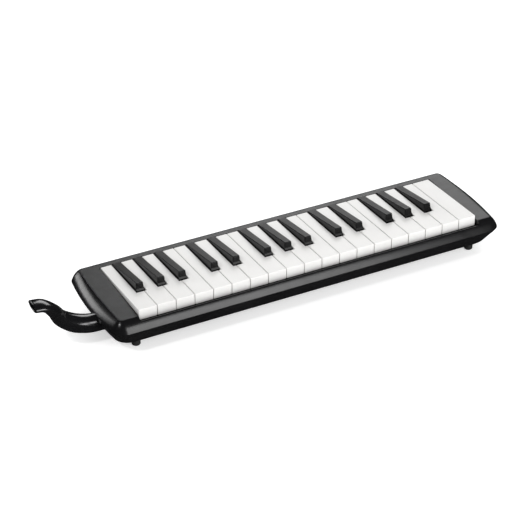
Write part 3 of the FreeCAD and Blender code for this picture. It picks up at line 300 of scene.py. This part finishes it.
def case_line(share, inset=0.0):
    """Plan points from the right end of the front lip, round the rear, to its left end."""
    size = {key: DECK_LINE[key] + (BELT_LINE[key] - DECK_LINE[key]) * share for key in DECK_LINE}
    half, corner = size["half"] - inset, size["corner"] - inset * CORNER_SHRINK
    front, rear = size["front"] + inset, size["rear"] - inset
    span = (rear - front) / 2
    middle_y = (rear + front) / 2
    bow = (span * span + size["sagitta"] ** 2) / (2 * size["sagitta"])
    bow_x = half - bow
    rise = span - corner
    corner_x = bow_x + math.sqrt((bow - corner) ** 2 - rise ** 2)
    reach = bow / (bow - corner)
    touch = (bow_x + (corner_x - bow_x) * reach, rise * reach)
    quarter = arc((corner_x, -rise), (corner_x, -span), (touch[0], -touch[1]), CORNER_POINTS)
    side = arc((bow_x, 0), (touch[0], -touch[1]), touch, SIDE_POINTS)
    right = quarter + side[1:] + [(x, -y) for x, y in reversed(quarter[:-1])]
    right = [(WINDOW_HALF - CASE_CENTRE, -span)] + right
    left = [(-x, y) for x, y in reversed(right)]
    left[-1] = (-WINDOW_HALF - CASE_CENTRE, -span)
    return [(CASE_CENTRE + x, middle_y + y) for x, y in right + left]


def flank_arc():
    """Radius, first tilt and sweep of the pillow-shaped flank."""
    chord = math.hypot(DECK_LINE["front"] - BELT_LINE["front"], BELT_Z)
    radius = (chord * chord / 4 + FLANK_BULGE ** 2) / (2 * FLANK_BULGE)
    half_sweep = math.asin(chord / 2 / radius)
    lean = math.atan2(-BELT_Z, DECK_LINE["front"] - BELT_LINE["front"])
    return radius, lean - half_sweep, 2 * half_sweep


def shoulder_tilt():
    """Tilt of the flank where the front lip's nose begins."""
    radius, start, _ = flank_arc()
    return math.acos(math.cos(start) + LIP_SHOULDER / radius)


def flank_levels():
    """(share, z) pairs down the flank from deck to belt, with the lip's shoulder among them."""
    radius, start, sweep = flank_arc()
    run = DECK_LINE["front"] - BELT_LINE["front"]
    tilts = [start + sweep * i / (LEVELS - 1) for i in range(LEVELS)]
    levels = []
    for tilt in sorted(tilts + [shoulder_tilt()]):
        out = radius * (math.sin(tilt) - math.sin(start))
        levels.append((out / run, radius * (math.cos(tilt) - math.cos(start))))
    return levels


def nose_points():
    """(y, z) pairs from the lip's shoulder over its nose and down the inner slope to the window."""
    radius, start, _ = flank_arc()
    tilt = shoulder_tilt()
    shoulder_y = DECK_LINE["front"] - radius * (math.sin(tilt) - math.sin(start))
    y = shoulder_y + LIP_NOSE * math.sin(tilt)
    z = LIP_SHOULDER - LIP_NOSE * math.cos(tilt)
    points = []
    for i in range(NOSE_STEPS + 1):
        turn = tilt - (tilt + LIP_SLOPE) * i / NOSE_STEPS
        points.append((y - LIP_NOSE * math.sin(turn), z + LIP_NOSE * math.cos(turn)))
    last_y, last_z = points[-1]
    points.append((WINDOW_FRONT, last_z - (WINDOW_FRONT - last_y) * math.tan(LIP_SLOPE)))
    points.append((WINDOW_FRONT, BELT_Z))
    return points


class Surface:
    """Collects shared vertices in keyboard-frame millimetres and the faces between them."""

    def __init__(self):
        self.points = []
        self.index = {}
        self.faces = []
        self.looks = []

    def vertex(self, point):
        key = tuple(round(c, 4) for c in point)
        if key not in self.index:
            self.index[key] = len(self.points)
            self.points.append(key)
        return self.index[key]

    def face(self, corners, look=0):
        ids = [self.vertex(corner) for corner in corners]
        ids = [v for i, v in enumerate(ids) if v != ids[i - 1]]
        if len(set(ids)) > 2:
            self.faces.append(ids)
            self.looks.append(look)

    def strip(self, lower, upper, look=0, closed=False):
        """Quads between two rows of equal length."""
        count = len(lower)
        for i in range(count if closed else count - 1):
            j = (i + 1) % count
            self.face([lower[i], lower[j], upper[j], upper[i]], look)

    def object(self, name, materials):
        mesh = bpy.data.meshes.new(name)
        mesh.from_pydata([at(*point) for point in self.points], [], self.faces)
        for material in materials:
            mesh.materials.append(material)
        for polygon, look in zip(mesh.polygons, self.looks):
            polygon.material_index = look
            polygon.use_smooth = True
        mesh.update()
        obj = bpy.data.objects.new(name, mesh)
        bpy.context.scene.collection.objects.link(obj)
        return obj


def bake(obj):
    """Replaces an object's mesh with the result of its modifiers."""
    bpy.context.view_layer.update()
    shown = obj.evaluated_get(bpy.context.evaluated_depsgraph_get())
    result = bpy.data.meshes.new_from_object(shown)
    obj.modifiers.clear()
    obj.data = result


def sharpen(mesh, limit=0.6):
    """Marks the edges between faces that meet at more than limit radians."""
    normals = {}
    for polygon in mesh.polygons:
        for key in polygon.edge_keys:
            normals.setdefault(key, []).append(polygon.normal)
    for edge in mesh.edges:
        pair = normals.get(edge.key, [])
        edge.use_edge_sharp = len(pair) != 2 or pair[0].angle(pair[1], 0) > limit


def round_ring(x, radius):
    """A circle of points about the mouthpiece's straight end."""
    return [(x, PIPE_Y + radius * math.cos(math.tau * i / ROUND),
             PIPE_Z + radius * math.sin(math.tau * i / ROUND)) for i in range(ROUND)]


def pipe_cutter(radius):
    """A plain rod through the left end at the mouthpiece's height.

    Known fault: its faces point inwards, so the cut made with it takes nothing away.
    """
    rod = Surface()
    case_left = CASE_CENTRE - CASE_HALF
    left = round_ring(case_left - CUTTER_OUTSIDE, radius)
    right = round_ring(case_left + CUTTER_INSIDE, radius)
    rod.strip(right, left, closed=True)
    rod.face(list(reversed(right)))
    rod.face(left)
    return rod.object("pipe_cutter", [])


def add_upper_shell():
    """Deck, pillow flank, window walls and rounded lip as one skin with a thickness."""
    shell = Surface()
    levels = flank_levels()
    rows = [[(x, y, z) for x, y in case_line(share)] for share, z in levels]
    rows[-1] = [(x, y, BELT_Z + BELT_STEP) for x, y, z in rows[-1]]
    rows.append([(x, y, BELT_Z) for x, y in case_line(1.0, BELT_INSET)])
    shoulder = min(range(len(levels)), key=lambda i: abs(levels[i][1] - LIP_SHOULDER))
    for i, (upper, lower) in enumerate(zip(rows, rows[1:])):
        shell.strip(lower, upper, 1, closed=i >= shoulder)
    crease = [[(x, y, z) for x, y in case_line(0.0, inset)] for inset, z in CREASE]
    crease.insert(0, rows[0])
    for outer, inner in zip(crease, crease[1:]):
        shell.strip(outer, inner, 0)
    half = WINDOW_HALF
    shell.face(crease[-1] + [(-half, WINDOW_REAR, 0), (half, WINDOW_REAR, 0)], 0)
    shell.face([(half, WINDOW_REAR, 0), (-half, WINDOW_REAR, 0), (-half, WINDOW_REAR, BELT_Z),
                (half, WINDOW_REAR, BELT_Z)], 1)
    nose = nose_points()
    shell.strip([(half, y, z) for y, z in nose], [(-half, y, z) for y, z in nose], 1)
    edge = [row[0][1:] for row in reversed(crease)]
    edge += [row[0][1:] for row in rows[1:shoulder + 1]]
    wall = edge + nose[1:] + [(WINDOW_REAR, BELT_Z), (WINDOW_REAR, 0)]
    shell.face([(half, y, z) for y, z in reversed(wall)], 1)
    shell.face([(-half, y, z) for y, z in wall], 1)
    obj = shell.object("upper_shell", [DECK, CASE])
    solid = obj.modifiers.new("wall", "SOLIDIFY")
    solid.thickness = SHELL_WALL * MM
    solid.offset = -1
    bake(obj)
    cutter = pipe_cutter(HOLE_RADIUS)
    cut = obj.modifiers.new("pipe_hole", "BOOLEAN")
    cut.object = cutter
    cut.operation = "DIFFERENCE"
    cut.solver = "EXACT"
    bake(obj)
    bpy.data.objects.remove(cutter)
    sharpen(obj.data)
    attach(obj, "case")
    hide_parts("upper_case")


# ---------- mouthpiece ----------

# Distance out from the case, rise, half width and half thickness along the tube.
STATIONS = [(0.0, 0.0, 9.1, 9.1), (9.8, 0.3, 9.1, 9.1), (18.5, 2.1, 9.1, 9.1),
            (29.1, 6.4, 9.1, 9.01), (40.6, 15.0, 9.28, 7.83), (47.1, 24.6, 9.46, 6.46),
            (56.7, 33.6, 9.74, 4.91), (67.55, 35.8, 9.92, 4.19)]
RINGS = 90
TUBE_WALL = 1.6
RIM_STEPS = 8
RIM_RINGS = 3
BORE_RADIUS = 5.6
SPIGOT_RADIUS = 7.9
SPIGOT_CHAMFER = 0.5
SPIGOT_END = -192.0
STEP_RADIUS = 8.6


def spline(values, position):
    """Catmull-Rom value of evenly numbered stations at a fractional position."""
    i = min(int(position), len(values) - 2)
    t = position - i
    before = values[max(i - 1, 0)]
    after = values[min(i + 2, len(values) - 1)]
    a, b = values[i], values[i + 1]
    return 0.5 * (2 * a + (b - before) * t + (2 * before - 5 * a + 4 * b - after) * t * t
                  + (3 * a - before - 3 * b + after) * t ** 3)


def tube_rings():
    """Centre, upright direction and half sizes at each ring along the mouthpiece."""
    columns = list(zip(*STATIONS))
    samples = []
    for i in range(RINGS + 1):
        position = (len(STATIONS) - 1) * i / RINGS
        samples.append([spline(column, position) for column in columns])
    rings = []
    for i, (out, rise, wide, thick) in enumerate(samples):
        low, high = samples[max(i - 1, 0)], samples[min(i + 1, RINGS)]
        heading = math.atan2(high[1] - low[1], high[0] - low[0])
        if i in (0, RINGS):
            heading = 0.0
        rings.append((out, rise, heading, wide, thick))
    return rings


def tube_ring(ring, shrink, back=0.0):
    """One closed row of points, drawn in by shrink and set back towards the case by back."""
    out, rise, heading, wide, thick = ring
    points = []
    for i in range(ROUND):
        angle = math.tau * i / ROUND
        side, up = (wide - shrink) * math.cos(angle), (thick - shrink) * math.sin(angle)
        points.append((PIPE_START - (out - back - up * math.sin(heading)), PIPE_Y + side,
                       PIPE_Z + rise + up * math.cos(heading)))
    return points


def add_mouthpiece():
    """The tube with a rounded rim at the lips, its spigot and the air passage through both.

    Known fault: the faces point into the material.
    """
    rings = tube_rings()
    rim = TUBE_WALL / 2
    skin = [tube_ring(ring, 0.0) for ring in rings[:-RIM_RINGS]]
    for step in range(RIM_STEPS + 1):
        angle = math.pi * step / RIM_STEPS
        skin.append(tube_ring(rings[-1], rim - rim * math.cos(angle), rim - rim * math.sin(angle)))
    skin += [tube_ring(ring, TUBE_WALL) for ring in reversed(rings[:-RIM_RINGS])]
    skin += [round_ring(PIPE_START, BORE_RADIUS), round_ring(SPIGOT_END, BORE_RADIUS),
             round_ring(SPIGOT_END, SPIGOT_RADIUS - SPIGOT_CHAMFER),
             round_ring(SPIGOT_END - SPIGOT_CHAMFER, SPIGOT_RADIUS),
             round_ring(PIPE_START, SPIGOT_RADIUS), round_ring(PIPE_START, STEP_RADIUS)]
    tube = Surface()
    skin.append(skin[0])
    for lower, upper in zip(skin, skin[1:]):
        tube.strip(lower, upper, closed=True)
    obj = tube.object("mouthpiece_skin", [GLOSS])
    sharpen(obj.data)
    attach(obj, "mouthpiece_pull")
    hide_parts("mouthpiece")


# ---------- drain spring ----------

COIL_TURNS = 3
COIL_STEPS = 36
COIL_SIDES = 10
WIRE_RADIUS = 0.25


def add_drain_coil():
    """The drain valve's round-wire spring, an even coil that fills the CAD spring's box.

    Known fault: the wire's side faces point inwards, while its two end caps point outwards.
    """
    low, high = ((corner - ORIGIN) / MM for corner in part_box("drain_spring"))
    middle_x, middle_y = (low.x + high.x) / 2, (low.y + high.y) / 2
    radius = (high.x - low.x) / 2 - WIRE_RADIUS
    rise = high.z - low.z - 2 * WIRE_RADIUS
    rings = []
    for step in range(COIL_TURNS * COIL_STEPS + 1):
        turn = math.tau * step / COIL_STEPS
        z = low.z + WIRE_RADIUS + rise * step / (COIL_TURNS * COIL_STEPS)
        ring = []
        for side in range(COIL_SIDES):
            angle = math.tau * side / COIL_SIDES
            reach = radius + WIRE_RADIUS * math.cos(angle)
            ring.append((middle_x + reach * math.cos(turn), middle_y + reach * math.sin(turn),
                         z + WIRE_RADIUS * math.sin(angle)))
        rings.append(ring)
    coil = Surface()
    for near, far in zip(rings, rings[1:]):
        coil.strip(near, far, closed=True)
    coil.face(rings[0])
    coil.face(list(reversed(rings[-1])))
    obj = coil.object("drain_coil", [STEEL])
    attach(obj, "case")
    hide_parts("drain_spring")
    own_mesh(obj)


add_upper_shell()
add_mouthpiece()
add_drain_coil()


# ---------- camera, light, stage ----------

# Heading is clockwise from +y, dip is below level, roll lifts the camera's right side.
HEADING, DIP, ROLL = math.radians(27.005), math.radians(32.5198), math.radians(-0.1942)
CAMERA_PLACE = (-749.762, -1358.749, 994.894)
LENS, SENSOR = 133.067, 36
FLOOR_HALF = 20


def add_camera():
    data = bpy.data.cameras.new("camera")
    camera = bpy.data.objects.new("camera", data)
    bpy.context.scene.collection.objects.link(camera)
    forward = Vector((math.sin(HEADING) * math.cos(DIP), math.cos(HEADING) * math.cos(DIP),
                      -math.sin(DIP)))
    level = Vector((math.cos(HEADING), -math.sin(HEADING), 0))
    right = level * math.cos(ROLL) + level.cross(forward) * math.sin(ROLL)
    up = right.cross(forward)
    place = at(*CAMERA_PLACE)
    camera.matrix_world = Matrix((
        (right.x, up.x, -forward.x, place.x), (right.y, up.y, -forward.y, place.y),
        (right.z, up.z, -forward.z, place.z), (0, 0, 0, 1)))
    data.lens = LENS
    data.sensor_width = SENSOR
    data.clip_start = 0.1
    data.clip_end = 30
    bpy.context.scene.camera = camera


def add_light(name, place, aim, size, power):
    """A rectangular light of size metres and power watts, turned from place towards aim."""
    data = bpy.data.lights.new(name, "AREA")
    data.shape = "RECTANGLE"
    data.size, data.size_y = size
    data.energy = power
    light = bpy.data.objects.new(name, data)
    bpy.context.scene.collection.objects.link(light)
    light.location = place
    light.rotation_mode = "QUATERNION"
    light.rotation_quaternion = (Vector(aim) - Vector(place)).to_track_quat("-Z", "Y")


def add_stage():
    mesh = bpy.data.meshes.new("floor")
    corners = [(FLOOR_HALF * x, FLOOR_HALF * y, 0) for x, y in ((-1, -1), (1, -1), (1, 1), (-1, 1))]
    mesh.from_pydata(corners, [], [(0, 1, 2, 3)])
    floor = bpy.data.objects.new("floor", mesh)
    bpy.context.scene.collection.objects.link(floor)
    material, tree, shader = new_material("floor_look")
    patches = noise(tree, coordinates(tree), 3.0, 2.0)
    cloud = ramp(tree, patches, (0.9, 0.9, 0.9), (0.92, 0.92, 0.92))
    tree.links.new(cloud, shader.inputs["Base Color"])
    shader.inputs["Roughness"].default_value = 0.9
    shader.inputs["Specular IOR Level"].default_value = 0.05
    shader.inputs["Emission Color"].default_value = (1, 1, 1, 1)
    shader.inputs["Emission Strength"].default_value = 0.45
    mesh.materials.append(material)
    floor.visible_glossy = False


WORLD_SHARES = (("Is Camera Ray", 1.0), ("Is Diffuse Ray", 0.5), ("Is Glossy Ray", 0.02))


def add_world():
    """A surround that is white to the camera, soft on matt surfaces and dim in reflections."""
    world = bpy.data.worlds.new("world")
    world.use_nodes = True
    tree = world.node_tree
    background = tree.nodes["Background"]
    background.inputs["Color"].default_value = (1, 1, 1, 1)
    path = tree.nodes.new("ShaderNodeLightPath")
    strength = None
    for output, share in WORLD_SHARES:
        weigh = tree.nodes.new("ShaderNodeMath")
        weigh.operation = "MULTIPLY_ADD"
        weigh.inputs[1].default_value = share
        weigh.inputs[2].default_value = 0
        tree.links.new(path.outputs[output], weigh.inputs[0])
        if strength:
            tree.links.new(strength, weigh.inputs[2])
        strength = weigh.outputs["Value"]
    tree.links.new(strength, background.inputs["Strength"])
    bpy.context.scene.world = world


add_camera()
add_light("rear_light", (1.0, 1.3, 1.0), (0.1, 0, 0), (1.3, 0.8), 12)
add_light("left_light", (-1.1, 1.35, 0.42), (-0.2, 0, 0), (0.6, 0.6), 7)
add_light("front_light", (0.42, -1.35, 0.5), (0.1, 0, 0), (0.7, 0.95), 15)
add_light("corner_light", (-1.05, -0.33, 1.17), (-0.2, 0, 0), (0.07, 0.07), 5)
add_stage()
add_world()
bpy.context.scene.view_settings.view_transform = "Standard"
